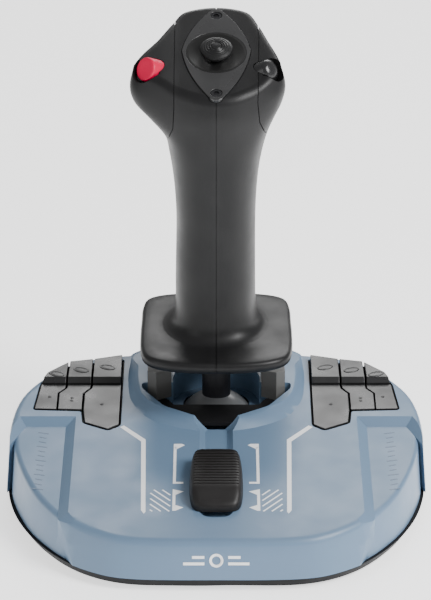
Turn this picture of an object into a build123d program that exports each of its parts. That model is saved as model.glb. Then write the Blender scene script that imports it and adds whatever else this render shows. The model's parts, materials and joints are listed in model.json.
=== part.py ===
from build123d import *
from math import atan, cos, degrees, hypot, pi, radians, sin
import os

os.makedirs("parts", exist_ok=True)

# Frame: +Z up, +X to the user's right, the user sits on the -Y side.
# The origin is under the middle of the base, on the surface it stands on.

# base
foot_height = 1.2
skirt_bottom = 6.0
rim_height = 46.0
deck_rise = 0.105
deck_middle = 33.45
wall = 2.5
wing_depth = 3.2
collar_height = 4.0
well_floor = 30.0
socket_radius = 20.9

tray_floor = 4.0
cover_bottom = 33.8
cover_thickness = 1.5
foot_spots = [(52, -66), (84, 10), (40, 74)]
tray_screws = [(56, -66), (90, 0), (38, 79)]
key_gap = 0.4
slider_rest = -47.0

# stick
pivot = (0, 52, 17)
bracket_screws = [(30, 38), (30, 66)]
dome_radius = 20.0
shaft_radius = 7.0
rod_radius = 5.0
ring_inner = 20.6
ring_outer = 24.5
pin_radius = 2.0
running_gap = 0.05

# grip
rest_front = 6.5
rest_bottom = 64.2
rest_rise = 0.061
rest_thickness = 5.6
grip_wall = 2.2
top_tilt = 25.0
top_front = (0, 26, 195)
bush_radius = 9.0
dish_middle = 33.4
dish_radius = 14.35
plate_screws = (5.2, 60.2)
hat_pivot = -7.0
trigger_pivot = (0, 76.5, 186.5)
grip_screw_spots = [(38, 95), (66, 95), (38, 140), (66, 140)]

deck_tilt = degrees(atan(deck_rise))
deck = Plane(
    origin=(0, 0, deck_middle),
    x_dir=(1, 0, 0),
    z_dir=(0, -sin(radians(deck_tilt)), cos(radians(deck_tilt))),
)
head = Plane(
    origin=top_front,
    x_dir=(1, 0, 0),
    z_dir=(0, -sin(radians(top_tilt)), cos(radians(top_tilt))),
)

left_button = Plane(origin=(-34.5, 43.5, 205.5), z_dir=(-0.66, -0.65, 0.37))
right_button = Plane(origin=(28.5, 44.5, 205.5), z_dir=(0.75, -0.5, 0.43))

# right half of the base outline, front middle to back middle
skirt_half = [
    (0, -94.1), (22, -94.1), (41, -92.6), (54, -87.8), (69, -76.4), (80, -62), (90.5, -42),
    (98.8, -14), (101.5, 10), (99, 38), (91.5, 58), (78, 75.5), (58, 86.3), (30, 90.4), (0, 90.8),
]
rim_half = [
    (0, -86.2), (21, -86.2), (38, -84.6), (50, -80.4), (63.5, -70.5), (75, -57), (86, -38.5),
    (95, -13), (98.6, 10), (96.4, 37.4), (89, 56.5), (76, 73.3), (57, 83.2), (30, 86.8), (0, 87.1),
]
# raised collar round the well: its foot, its crest and the lip of the well
collar_foot = [
    (0, 8.1), (17.5, 11.5), (32.7, 20.7), (41, 36), (43.4, 52), (43.4, 72), (40, 92), (24, 104), (0, 106),
]
collar_crest = [
    (0, 13.6), (9, 14.1), (20.6, 20), (29, 27.2), (36, 37), (38.8, 52), (38.8, 70), (36, 84), (0, 96),
]
well_lip = [(0, 15.4), (9, 15.4), (25.5, 25.8), (36.7, 43.5), (36.7, 49)]


def on_deck(points):
    """Plan points stretched to lie on the sloping deck."""
    return [(x, y / cos(radians(deck_tilt))) for x, y in points]


def both_sides(half):
    """Mirror a half outline that starts and ends on the middle line."""
    return half + [(-x, y) for x, y in reversed(half[1:-1])]


def drawn_in(points, amount):
    """Move a closed anticlockwise outline inwards along its normals."""
    moved = []
    for i, (x, y) in enumerate(points):
        x0, y0 = points[i - 1]
        x1, y1 = points[(i + 1) % len(points)]
        run = hypot(x1 - x0, y1 - y0)
        moved.append((x - (y1 - y0) / run * amount, y + (x1 - x0) / run * amount))
    return moved


def shrunk_polygon(points, amount):
    """Corners of a straight-sided outline after each side moves inwards."""
    turn = sum(points[i - 1][0] * y - x * points[i - 1][1] for i, (x, y) in enumerate(points))
    amount = amount if turn > 0 else -amount
    moved = []
    for i, (x, y) in enumerate(points):
        x0, y0 = points[i - 1]
        x1, y1 = points[(i + 1) % len(points)]
        before = hypot(x - x0, y - y0)
        after = hypot(x1 - x, y1 - y)
        ax, ay = (x - x0) / before, (y - y0) / before
        bx, by = (x1 - x) / after, (y1 - y) / after
        spread = amount / (1 + ax * bx + ay * by)
        moved.append((x - (ay + by) * spread, y + (ax + bx) * spread))
    return moved


def smooth_face(points, plane):
    """Closed smooth outline as a sketch on a plane."""
    with BuildSketch(plane) as face:
        with BuildLine():
            Spline(*points, periodic=True)
        make_face()
    return face.sketch


def straight_face(points, plane):
    """Closed outline of straight edges as a sketch on a plane."""
    with BuildSketch(plane) as face:
        with BuildLine():
            Polyline(*points, close=True)
        make_face()
    return face.sketch


def keep(piece, label):
    """Label a finished piece and write it."""
    piece.part.label = label
    export_step(piece.part, f"parts/{label}.step")


def tapered_body(inset, top):
    """The base outline between two heights, with its draft."""
    with BuildPart() as body:
        low = smooth_face(drawn_in(both_sides(skirt_half), inset), Plane.XY.offset(skirt_bottom))
        high = smooth_face(drawn_in(both_sides(rim_half), inset), Plane.XY.offset(rim_height))
        loft([low, high])
        split(bisect_by=top, keep=Keep.BOTTOM)
    return body


# edge of the recessed side panel floor, right side
wing_edge = [(73, 18), (73, -66.5), (65.5, -82), (125, -82), (125, -4), (101, -4), (92, 18)]


def shell_form(inset, drop, rounding=0):
    """Body of the base under the deck, with the two side panels recessed."""
    with BuildPart() as form:
        add(tapered_body(inset, deck.offset(-drop)).part)
        if rounding:
            fillet(form.faces().filter_by(Axis(deck.origin, deck.z_dir)).edges(), rounding)
        for side in (1, -1):
            edge = [(side * (x - inset), y + inset) for x, y in on_deck(wing_edge)]
            panel = straight_face(edge, deck.offset(-drop - wing_depth))
            extrude(panel, amount=wing_depth + 1, taper=-57, mode=Mode.SUBTRACT)
    return form


# the key opening, right side, anticlockwise from the inner front corner
key_opening = [
    (46.8, 14), (52.2, 9.5), (64.2, 16.4), (65.3, 28.3), (88.9, 29.5),
    (86.7, 54), (84, 61.8), (73.4, 73.1), (61.3, 75.7), (46.8, 80),
]


groove_block = [(-11, -76), (11, -76), (11, 24), (-11, 24)]


def well_outline(spread, plane):
    """U-shaped front of the well joined to the round back behind the shaft."""
    front = [(-x, y) for x, y in reversed(well_lip[1:])] + well_lip[1:]
    with BuildSketch(plane) as face:
        with BuildLine():
            Polyline(*front, close=True)
        make_face()
        if spread:
            offset(amount=spread, kind=Kind.INTERSECTION)
        else:
            fillet(face.vertices().group_by(Axis.Y)[0] + face.vertices().group_by(Axis.Y)[1], 12)
        with Locations((pivot[0], pivot[1])):
            Circle(21.5 + spread)
    return face.sketch


def groove_outline(half_width, front, back, plane):
    """Slider groove on the deck: straight sides and a round front end."""
    with BuildSketch(plane) as face:
        with Locations((0, (front + half_width + back) / 2)):
            Rectangle(2 * half_width, back - front - half_width)
        with Locations((0, front + half_width)):
            Circle(half_width)
    return face.sketch


def top_shell_part():
    with BuildPart() as collar:
        foot = smooth_face(on_deck(both_sides(collar_foot)), deck.offset(-0.5))
        crest = smooth_face(on_deck(both_sides(collar_crest)), deck.offset(collar_height))
        loft([foot, crest])
        add(tapered_body(0, deck.offset(collar_height)).part, mode=Mode.INTERSECT)
    with BuildPart() as hollow:
        add(shell_form(wall, wall).part)
        extrude(well_outline(wall, Plane.XY.offset(well_floor - wall)), amount=40, mode=Mode.SUBTRACT)
        extrude(straight_face(groove_block, deck.offset(-6)), amount=10, mode=Mode.SUBTRACT)
        with Locations(*[(side * x, y, 30) for x, y in tray_screws for side in (1, -1)]):
            Cylinder(3.4, 60, mode=Mode.SUBTRACT)
    with BuildPart() as shell:
        add(shell_form(0, 0, rounding=3.2).part)
        add(collar.part)
        add(hollow.part, mode=Mode.SUBTRACT)
        extrude(well_outline(0, Plane.XY.offset(well_floor)), amount=40, mode=Mode.SUBTRACT)
        with Locations(pivot):
            Sphere(socket_radius, mode=Mode.SUBTRACT)
        groove = groove_outline(5.3, -67.5, 16, deck.offset(-3))
        extrude(groove, amount=3.2, taper=-42, mode=Mode.SUBTRACT)
        extrude(groove_outline(2.2, -58.6, -20.4, deck.offset(-8)), amount=10, mode=Mode.SUBTRACT)
        for side in (1, -1):
            opening = straight_face([(side * x, y) for x, y in on_deck(key_opening)], deck.offset(-8))
            extrude(opening, amount=14, mode=Mode.SUBTRACT)
        with Locations(*[(side * x, y, 12) for x, y in tray_screws for side in (1, -1)]):
            Cylinder(1.3, 16, mode=Mode.SUBTRACT)
        with Locations(Location((0, 90, 14), (90, 0, 0))):
            Cylinder(5.05, 20, mode=Mode.SUBTRACT)
        with Locations(Location((0, 94.4, 14), (90, 0, 0))):
            Cylinder(6.1, 10, mode=Mode.SUBTRACT)
    return shell


def tray_part():
    with BuildPart() as tray:
        low = smooth_face(drawn_in(both_sides(skirt_half), 4), Plane.XY.offset(foot_height))
        high = smooth_face(drawn_in(both_sides(skirt_half), 0.7), Plane.XY.offset(skirt_bottom))
        loft([low, high])
        pocket = smooth_face(drawn_in(both_sides(skirt_half), 7), Plane.XY.offset(tray_floor))
        extrude(pocket, amount=4, mode=Mode.SUBTRACT)
        with Locations(*[(side * x, y, skirt_bottom) for x, y in tray_screws for side in (1, -1)]):
            Cylinder(3.4, skirt_bottom - tray_floor, align=(Align.CENTER, Align.CENTER, Align.MAX))
        with Locations(*[(side * x, y, foot_height) for x, y in tray_screws for side in (1, -1)]):
            Cylinder(1.6, 12, mode=Mode.SUBTRACT)
            Cylinder(2.8, 3, mode=Mode.SUBTRACT)
        with Locations(*[(side * x, y, tray_floor) for x, y in bracket_screws for side in (1, -1)]):
            Cylinder(1.3, 3.6, mode=Mode.SUBTRACT)
    return tray


def feet_part():
    with BuildPart() as feet:
        with Locations(*[(side * x, y, foot_height / 2) for x, y in foot_spots for side in (1, -1)]):
            Cylinder(8, foot_height)
    return feet


def ballast_part():
    with BuildPart() as ballast:
        with Locations((0, -45, tray_floor + 1.5)):
            Box(84, 46, 3)
        fillet(ballast.edges().filter_by(Axis.Z), 4)
    return ballast


def base_screws_part():
    with BuildPart() as screws:
        with Locations(*[(side * x, y, 0) for x, y in tray_screws for side in (1, -1)]):
            with Locations((0, 0, 1.3)):
                Cylinder(2.6, 1.2, align=(Align.CENTER, Align.CENTER, Align.MIN))
            with Locations((0, 0, 2.5)):
                Cylinder(1.25, 13, align=(Align.CENTER, Align.CENTER, Align.MIN))
        with Locations(*[(side * x, y, 0) for x, y in bracket_screws for side in (1, -1)]):
            with Locations((0, 0, 2.4)):
                Cylinder(1.25, 4.6, align=(Align.CENTER, Align.CENTER, Align.MIN))
            with Locations((0, 0, 7)):
                Cylinder(2.4, 1.6, align=(Align.CENTER, Align.CENTER, Align.MIN))
    return screws


def well_cover_part():
    """Dark plate over the front half of the well, on two posts."""
    front = [(-x, y) for x, y in reversed(well_lip[1:-1])] + well_lip[1:-1]
    edge = front + [(34.5, 46.5), (24, 46.5), (20.5, 39), (-20.5, 39), (-24, 46.5), (-34.5, 46.5)]
    with BuildPart() as cover:
        with BuildSketch(Plane.XY.offset(cover_bottom)):
            with BuildLine():
                Polyline(*edge, close=True)
            make_face()
            offset(amount=-0.6, kind=Kind.INTERSECTION)
        extrude(amount=cover_thickness)
        with Locations(*[(side * 24, 33, well_floor) for side in (1, -1)]):
            Cylinder(3, cover_bottom - well_floor, align=(Align.CENTER, Align.CENTER, Align.MIN))
    return cover


def cheek_part(side):
    """Grey block beside the shaft, its front face slanting outwards."""
    edge = [(22.2, 48.2), (29.5, 43.2), (33.8, 46.2), (33.8, 75), (22.2, 75)]
    with BuildPart() as cheek:
        with BuildSketch(Plane.XY.offset(cover_bottom + cover_thickness)):
            with BuildLine():
                Polyline(*[(side * x, y) for x, y in edge], close=True)
            make_face()
        extrude(amount=20)
        split(bisect_by=Plane(origin=(0, 45, 50), z_dir=(0, 0.16, 1)), keep=Keep.BOTTOM)
        with BuildSketch(deck.offset(collar_height)):
            with Locations((side * 28, 75)):
                Rectangle(30, 2 * (75 - 49.0))
        extrude(amount=-30, mode=Mode.SUBTRACT)
    return cheek


def bracket_part():
    """Floor bracket with two ears that hold the pitch pins."""
    with BuildPart() as bracket:
        with Locations((0, 52, tray_floor + 1.5)):
            Box(68, 38, 3)
            Cylinder(13, 3, mode=Mode.SUBTRACT)
        with Locations(*[(side * 27.5, 52, 7) for side in (1, -1)]):
            Box(4, 12, 14, align=(Align.CENTER, Align.CENTER, Align.MIN))
        with Locations(Location(pivot, (0, 90, 0))):
            Cylinder(pin_radius, 80, mode=Mode.SUBTRACT)
        with Locations(*[(side * x, y, 5.5) for x, y in bracket_screws for side in (1, -1)]):
            Cylinder(1.3, 3, mode=Mode.SUBTRACT)
    return bracket


def pitch_pins_part():
    with BuildPart() as pins:
        for side in (1, -1):
            with Locations(Location((side * 26.2, pivot[1], pivot[2]), (0, 90, 0))):
                Cylinder(pin_radius, 10.6)
    return pins


def coil_part(radius, wire, pitch, turns, place):
    """Round-wire coil spring along a plane's normal, from its origin."""
    with BuildPart() as coil:
        with BuildLine() as path:
            Helix(pitch, pitch * turns, radius, center=place.origin, direction=place.z_dir)
        with BuildSketch(Plane(origin=path.line @ 0, z_dir=path.line % 0)):
            Circle(wire / 2)
        sweep(path=path.line, is_frenet=True)
    return coil


def ring_part():
    with BuildPart() as ring:
        with Locations(pivot):
            Cylinder(ring_outer, 6)
            Cylinder(ring_inner, 6, mode=Mode.SUBTRACT)
        with Locations(Location(pivot, (0, 90, 0))):
            Cylinder(pin_radius + running_gap, 60, mode=Mode.SUBTRACT)
        with Locations(Location(pivot, (90, 0, 0))):
            Cylinder(pin_radius, 60, mode=Mode.SUBTRACT)
    return ring


def roll_pins_part():
    with BuildPart() as pins:
        for side in (1, -1):
            with Locations(Location((0, pivot[1] + side * 19.2, pivot[2]), (90, 0, 0))):
                Cylinder(pin_radius, 10.4)
    return pins


def hub_part():
    with BuildPart() as hub:
        with Locations((0, 52, 9)):
            Cylinder(9, 17, align=(Align.CENTER, Align.CENTER, Align.MIN))
        with Locations(pivot):
            Box(8, 39.6, 6)
        for side in (1, -1):
            with Locations(Location((0, pivot[1] + side * 17, pivot[2]), (90, 0, 0))):
                Cylinder(pin_radius + running_gap, 6.2, mode=Mode.SUBTRACT)
    return hub


def dome_part():
    with BuildPart() as dome:
        with Locations(pivot):
            Sphere(dome_radius)
            Sphere(dome_radius - 1.8, mode=Mode.SUBTRACT)
        split(bisect_by=Plane.XY.offset(23.2), keep=Keep.TOP)
        with Locations((0, 52, 40)):
            Cylinder(shaft_radius, 30, mode=Mode.SUBTRACT)
    return dome


def shaft_part():
    with BuildPart() as shaft:
        with Locations((0, 52, 26)):
            Cylinder(shaft_radius, 40, align=(Align.CENTER, Align.CENTER, Align.MIN))
        with Locations((0, 52, 66)):
            Cylinder(rod_radius, 52, align=(Align.CENTER, Align.CENTER, Align.MIN))
    return shaft


def round_part(radius, bottom, height, bore=0.0, x=0.0, y=52.0):
    """Plain round piece on a vertical axis."""
    with BuildPart() as piece:
        with Locations((x, y, bottom)):
            Cylinder(radius, height, align=(Align.CENTER, Align.CENTER, Align.MIN))
            if bore:
                Cylinder(bore, height, align=(Align.CENTER, Align.CENTER, Align.MIN), mode=Mode.SUBTRACT)
    return piece


def plate_part(width, depth, thickness, place):
    """Plain rectangular board or block standing on a plane."""
    with BuildPart() as piece:
        with BuildSketch(place):
            Rectangle(width, depth)
        extrude(amount=thickness)
    return piece


def gland_part():
    with BuildPart() as gland:
        with BuildSketch(Plane.YZ):
            with BuildLine():
                Polyline(
                    (82, 16.4), (94.1, 16.4), (94.1, 18.4), (91.5, 20), (89.5, 20), (89.5, 19), (82, 19),
                    close=True,
                )
            make_face()
        revolve(axis=Axis((0, 0, 14), (0, 1, 0)))
    return gland


# right-hand keys: top outlines, and how far each stands above the deck
key_shapes = {
    "rear_inner": ([(46.8, 54), (61.5, 54), (61.3, 75.7), (46.8, 80)], 3.2),
    "rear_middle": ([(61.5, 54), (74, 54), (73.4, 73.1), (61.3, 75.7)], 3.2),
    "rear_outer": ([(74, 54), (86.7, 54), (84, 61.8), (73.4, 73.1)], 3.2),
    "front_inner": (
        [
            (46.8, 54), (46.8, 14), (52.2, 9.5), (64.2, 16.4),
            (65.3, 28.3), (65.3, 44.6), (61.9, 50), (61.5, 54),
        ],
        0.4,
    ),
    "front_middle": (
        [(61.5, 54), (61.9, 50), (65.3, 44.6), (65.3, 28.3), (77.7, 29), (77.7, 45), (74.2, 50), (74, 54)],
        0.4,
    ),
    "front_outer": ([(74, 54), (74.2, 50), (77.7, 45), (77.7, 29), (88.9, 29.5), (86.7, 54)], 0.4),
}


def key_middle(corners):
    """Mean of a key's corners, where its stem and switch stand."""
    return sum(x for x, _ in corners) / len(corners), sum(y for _, y in corners) / len(corners)


def key_part(side, corners, height):
    """One base key: a cap over a stem that presses its switch."""
    flat = [(side * x, y) for x, y in on_deck(corners)]
    x, y = key_middle(flat)
    with BuildPart() as key:
        extrude(straight_face(shrunk_polygon(flat, key_gap), deck.offset(-4)), amount=4 + height)
        if height > 1:
            top = key.faces().filter_by(Axis(deck.origin, deck.z_dir)).sort_by(Axis.Z)[-1]
            front = top.edges().sort_by(Axis.Y)[0]
            chamfer(front, 2.2)
        with BuildSketch(deck.offset(-5.8)):
            with Locations((x, y)):
                Rectangle(4, 4)
        extrude(amount=2)
    return key


def key_board_part(side):
    with BuildPart() as board:
        with BuildSketch(deck.offset(-10)):
            with Locations((side * 65.5, 43.7)):
                Rectangle(34, 39)
        extrude(amount=1.6)
    return board


def key_switches_part():
    with BuildPart() as switches:
        for side in (1, -1):
            for corners, _ in key_shapes.values():
                x, y = key_middle([(side * x, y) for x, y in on_deck(corners)])
                with BuildSketch(deck.offset(-8.4)):
                    with Locations((x, y)):
                        Circle(2.6)
                extrude(amount=1.1)
    return switches


def slider_knob_part():
    """Barrel-sided knob with cross ribs, on a stem through the groove."""
    with BuildPart() as knob:
        with BuildSketch(deck.offset(0.5)) as outline:
            with BuildLine():
                ThreePointArc((-11.6, -20.5), (-12.6, -47), (-11.6, -73.5))
                Line((-11.6, -73.5), (11.6, -73.5))
                ThreePointArc((11.6, -73.5), (12.6, -47), (11.6, -20.5))
                Line((11.6, -20.5), (-11.6, -20.5))
            make_face()
            fillet(outline.vertices(), 4)
        extrude(amount=8, taper=7)
        with BuildSketch(deck.offset(8.1)):
            with GridLocations(0, 2.6, 1, 13):
                with Locations((0, slider_rest + 4)):
                    Rectangle(30, 1.2)
        extrude(amount=2, mode=Mode.SUBTRACT)
        with BuildSketch(deck.offset(-6.2)):
            with Locations((0, slider_rest)):
                Circle(1.9)
        extrude(amount=8)
    return knob


def slider_carriage_part():
    with BuildPart() as carriage:
        with BuildSketch(deck.offset(-8.8)):
            with Locations((0, slider_rest)):
                Rectangle(12, 10)
        extrude(amount=2.5)
    return carriage


def slider_track_part():
    with BuildPart() as track:
        with BuildSketch(deck.offset(-12.6)):
            with Locations((0, -40)):
                Rectangle(16, 60)
        extrude(amount=3.5)
    return track


def grip_stations(left, right, front, back):
    """Six stations of a rounded grip section, front middle to back middle."""
    middle = (front + back) / 2
    deep = (back - front) / 2
    stations = []
    for step in range(7):
        swing = pi * step / 6
        across = abs(sin(swing)) ** 0.8
        stations.append((middle - deep * cos(swing), left * across, right * across))
    return stations


# height and stations (depth, left half width, right half width) of the grip and head
grip_sections = [
    (68.5, grip_stations(26, 25.6, 24.5, 82)),
    (73.5, grip_stations(21.8, 21.2, 29.3, 76.5)),
    (80, grip_stations(20, 19.4, 31.2, 74.2)),
    (100, grip_stations(19.8, 19.0, 31.5, 73.5)),
    (130, grip_stations(19.3, 18.9, 31, 73)),
    (152, grip_stations(20.9, 20.2, 29.6, 75)),
    (170, grip_stations(24.2, 23.8, 28, 79)),
    (184, [
        (26.6, 0, 0), (30, 14.5, 14), (37, 27, 24), (46, 33, 29),
        (61, 29, 25.5), (78, 22, 21), (85, 0, 0),
    ]),
    (197, [
        (25.6, 0, 0), (30, 16, 15), (38, 33, 27.5), (46.5, 41, 32.7),
        (61, 33.5, 28.5), (79, 21.5, 20.5), (88, 0, 0),
    ]),
    (228, [
        (25, 0, 0), (30, 16, 15), (38, 31, 26), (46.5, 38, 31),
        (61, 31, 26.5), (79, 20, 19), (88.5, 0, 0),
    ]),
]


def section_outline(stations):
    right = [(half, y) for y, _, half in stations]
    left = [(-half, y) for y, half, _ in stations]
    return right + list(reversed(left[1:-1]))


def grip_form(inset, lowest):
    """Grip and head as one smooth form, cut off at the sloping head top."""
    with BuildPart() as form:
        faces = []
        for height, stations in grip_sections:
            if height >= lowest:
                outline = drawn_in(section_outline(stations), inset)
                faces.append(smooth_face(outline, Plane.XY.offset(height)))
        loft(faces, ruled=True)
        split(bisect_by=head.offset(-inset), keep=Keep.BOTTOM)
    return form


# right half of the hand rest's outline, measured back from its front
rest_half = [
    (0, 0), (13, 0.7), (25.5, 3.6), (33.8, 9.6), (36.6, 20.6),
    (37, 45.6), (36.6, 69.6), (33, 78), (20, 82.8), (0, 83.4),
]


def whole_grip():
    """Grip with its hand rest, hollow, before it is cut into its mouldings."""
    rest = Plane(origin=(0, rest_front, rest_bottom), x_dir=(1, 0, 0), z_dir=(0, -rest_rise, 1))
    with BuildPart() as hand_rest:
        low = smooth_face(both_sides(rest_half), rest)
        extrude(low, amount=rest_thickness)
        fillet(hand_rest.faces().sort_by(Axis.Z)[-1].edges(), 2.0)
    with BuildPart() as cavity:
        add(grip_form(grip_wall, 73.5).part)
        with Locations((0, 52, 109)):
            Box(80, 60, 8, mode=Mode.SUBTRACT)
        with Locations((0, 88, 174)):
            Box(19, 40, 42, mode=Mode.SUBTRACT)
    with BuildPart() as grip:
        add(grip_form(0, 0).part)
        add(hand_rest.part)
        add(cavity.part, mode=Mode.SUBTRACT)
        with Locations((0, 52, 60)):
            Cylinder(bush_radius, 60, align=(Align.CENTER, Align.CENTER, Align.MIN), mode=Mode.SUBTRACT)
        with Locations((0, 83, 174)):
            Box(12.8, 34, 37, mode=Mode.SUBTRACT)
        with Locations(Location(trigger_pivot, (0, 90, 0))):
            Cylinder(1.5, 16.4, mode=Mode.SUBTRACT)
        extrude(lozenge(0.25, head.offset(-1.4)), amount=20, mode=Mode.SUBTRACT)
        with BuildSketch(head.offset(-8)):
            with Locations((0, dish_middle)):
                Circle(7.5)
            with Locations((0, plate_screws[0]), (0, plate_screws[1])):
                Circle(1.2)
        extrude(amount=20, mode=Mode.SUBTRACT)
        for place, radius in ((left_button, 6.05), (right_button, 5.65)):
            with BuildSketch(place.offset(-16)):
                Circle(radius)
            extrude(amount=30, mode=Mode.SUBTRACT)
            with BuildSketch(place.offset(-5)):
                Circle(radius + 0.9)
            extrude(amount=20, mode=Mode.SUBTRACT)
    return grip


def module_prism(side):
    """Space that a head module takes up: outside the seam, above its foot."""
    if side < 0:
        edge = [(-20, 235), (-20, 190), (-20.6, 179), (-24, 170), (-60, 166), (-60, 235)]
    else:
        edge = [(19.6, 235), (20.4, 214), (19.6, 192), (20.6, 182), (24.2, 173), (60, 166), (60, 235)]
    with BuildPart() as prism:
        with BuildSketch(Plane.XZ):
            with BuildLine():
                Polyline(*edge, close=True)
            make_face()
        extrude(amount=-120)
    return prism


def lozenge(spread, place):
    """Eye-shaped outline of the top plate."""
    with BuildSketch(place) as face:
        with BuildLine():
            ThreePointArc((-3.4, 2.6), (0, 0.2), (3.4, 2.6))
            ThreePointArc((3.4, 2.6), (11.6, 17), (16.4, 35))
            ThreePointArc((16.4, 35), (11.4, 50.5), (3.2, 63))
            ThreePointArc((3.2, 63), (0, 65), (-3.2, 63))
            ThreePointArc((-3.2, 63), (-11.4, 50.5), (-16.4, 35))
            ThreePointArc((-16.4, 35), (-11.6, 17), (-3.4, 2.6))
        make_face()
        if spread:
            offset(amount=spread, kind=Kind.INTERSECTION)
    return face.sketch


def top_plate_part():
    with BuildPart() as plate:
        extrude(lozenge(0, head.offset(-1.4)), amount=1.9)
        with BuildSketch(head.offset(-3)):
            with Locations((0, dish_middle)):
                Circle(dish_radius)
            with Locations((0, plate_screws[0]), (0, plate_screws[1])):
                Circle(1.3)
        extrude(amount=6, mode=Mode.SUBTRACT)
        with BuildSketch(head.offset(-0.7)):
            with Locations((0, plate_screws[0]), (0, plate_screws[1])):
                Circle(2.8)
        extrude(amount=6, mode=Mode.SUBTRACT)
    return plate


def plate_screws_part():
    with BuildPart() as screws:
        with BuildSketch(head.offset(-0.7)):
            with Locations((0, plate_screws[0]), (0, plate_screws[1])):
                Circle(2.6)
        extrude(amount=0.9)
        with BuildSketch(head.offset(-7)):
            with Locations((0, plate_screws[0]), (0, plate_screws[1])):
                Circle(1.15)
        extrude(amount=6.5)
        with BuildSketch(head.offset(-0.3)):
            with Locations((0, plate_screws[0]), (0, plate_screws[1])):
                RegularPolygon(1.5, 6)
        extrude(amount=2, mode=Mode.SUBTRACT)
    return screws


hat_place = Plane(origin=head.from_local_coords((0, 33.4, 0)), x_dir=(1, 0, 0), z_dir=head.z_dir)


def turned_part(profile):
    """Piece turned about the hat's axis, from a half profile of radius and height."""
    side_plane = Plane(origin=hat_place.origin, x_dir=(1, 0, 0), z_dir=-hat_place.y_dir)
    with BuildPart() as piece:
        with BuildSketch(side_plane):
            with BuildLine():
                Polyline(*profile, close=True)
            make_face()
        revolve(axis=Axis(hat_place.origin, hat_place.z_dir))
    return piece


def hat_cap_part():
    """Stepped cap on a stem, with the inner pins of the cradle."""
    profile = [(0, 5.2), (2, 5.0)]
    for ring in range(4):
        outer = 3.0 + ring * 1.15
        profile += [(outer - 0.5, 4.6 - 0.2 * ring), (outer, 4.9 - 0.3 * ring)]
    profile += [(7.6, 3.4), (7.8, 2.6), (7.6, 1.4), (2.6, 1.4), (2.6, -8.2), (0, -8.2)]
    with BuildPart() as cap:
        add(turned_part(profile).part)
        with BuildSketch(Plane(origin=hat_place.offset(hat_pivot).origin, z_dir=hat_place.y_dir)):
            Circle(0.8)
        extrude(amount=5.6, both=True)
    return cap


def hat_cradle_part():
    with BuildPart() as cradle:
        with BuildSketch(hat_place.offset(hat_pivot - 1.4)):
            Circle(6)
            Circle(4, mode=Mode.SUBTRACT)
        extrude(amount=2.8)
        with BuildSketch(Plane(origin=hat_place.offset(hat_pivot).origin, z_dir=hat_place.y_dir)):
            Circle(0.8 + running_gap)
        extrude(amount=8, both=True, mode=Mode.SUBTRACT)
        for side in (1, -1):
            start = hat_place.offset(hat_pivot).origin + Vector(side * 5.5, 0, 0)
            with BuildSketch(Plane(origin=start, z_dir=(side, 0, 0))):
                Circle(0.8)
            extrude(amount=3.4)
    return cradle


def hat_block_part():
    with BuildPart() as block:
        with BuildSketch(hat_place.offset(-13)):
            Rectangle(22, 22)
        extrude(amount=9.3)
        with BuildSketch(hat_place.offset(-11.5)):
            Circle(7.2)
        extrude(amount=12, mode=Mode.SUBTRACT)
        with BuildSketch(Plane(origin=hat_place.offset(hat_pivot).origin, z_dir=(1, 0, 0))):
            Circle(0.8 + running_gap)
        extrude(amount=9.4, both=True, mode=Mode.SUBTRACT)
    return block


def button_part(place, radius, height):
    """Thumb button: rounded cap with a retaining flange inside the head."""
    with BuildPart() as button:
        with BuildSketch(place.offset(-12)):
            Circle(radius)
        extrude(amount=12 + height)
        fillet(button.edges().filter_by(GeomType.CIRCLE).sort_by(Axis(place.origin, place.z_dir))[-1], 1.1)
    return button


def trigger_part():
    """Curved finger lever, hung from its pin at the back of the grip."""
    with BuildPart() as trigger:
        with BuildSketch(Plane.YZ.offset(-6)):
            with BuildLine():
                Spline((80, 190.5), (88.5, 180), (90, 168), (91.5, 158.5))
                Line((91.5, 158.5), (88, 157.5))
                Spline((88, 157.5), (85.5, 168), (80, 177), (73, 183))
                Line((73, 183), (73, 190.5))
                Line((73, 190.5), (80, 190.5))
            make_face()
        extrude(amount=12)
        with Locations(Location(trigger_pivot, (0, 90, 0))):
            Cylinder(1.5 + running_gap, 40, mode=Mode.SUBTRACT)
    return trigger


def side_rod_part(radius, length, middle):
    """Round pin across the grip."""
    with BuildPart() as rod:
        with Locations(Location(middle, (0, 90, 0))):
            Cylinder(radius, length)
    return rod


def tact_switches_part():
    with BuildPart() as switches:
        for place in (left_button, right_button):
            with BuildSketch(place.offset(-18.5)):
                Rectangle(6, 6)
            extrude(amount=4)
    return switches


def grip_screws_part():
    """Four screws that draw the two grip shells together."""
    with BuildPart() as screws:
        for y, z in grip_screw_spots:
            with Locations(Location((0, y, z), (0, 90, 0))):
                Cylinder(1.2, 18)
    return screws


def bushes_part():
    """Two plain bushes that let the grip twist on the rod."""
    with BuildPart() as bushes:
        with Locations((0, 52, 67.6), (0, 52, 105.5)):
            Cylinder(bush_radius, 6.5, align=(Align.CENTER, Align.CENTER, Align.MIN))
            Cylinder(
                rod_radius + running_gap,
                6.5,
                align=(Align.CENTER, Align.CENTER, Align.MIN),
                mode=Mode.SUBTRACT,
            )
    return bushes


def cut_grip():
    """Cut the grip into two shells and two head modules."""
    grip = whole_grip()
    left_space = module_prism(-1).part
    right_space = module_prism(1).part
    with BuildPart() as left_module:
        add(grip.part)
        add(left_space, mode=Mode.INTERSECT)
    with BuildPart() as right_module:
        add(grip.part)
        add(right_space, mode=Mode.INTERSECT)
    with BuildPart() as left_shell:
        add(grip.part)
        split(bisect_by=Plane.YZ, keep=Keep.BOTTOM)
        add(left_space, mode=Mode.SUBTRACT)
    with BuildPart() as right_shell:
        add(grip.part)
        split(bisect_by=Plane.YZ, keep=Keep.TOP)
        add(right_space, mode=Mode.SUBTRACT)
    keep(left_module, "head_module_left")
    keep(right_module, "head_module_right")
    keep(left_shell, "grip_left_shell")
    keep(right_shell, "grip_right_shell")


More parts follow.
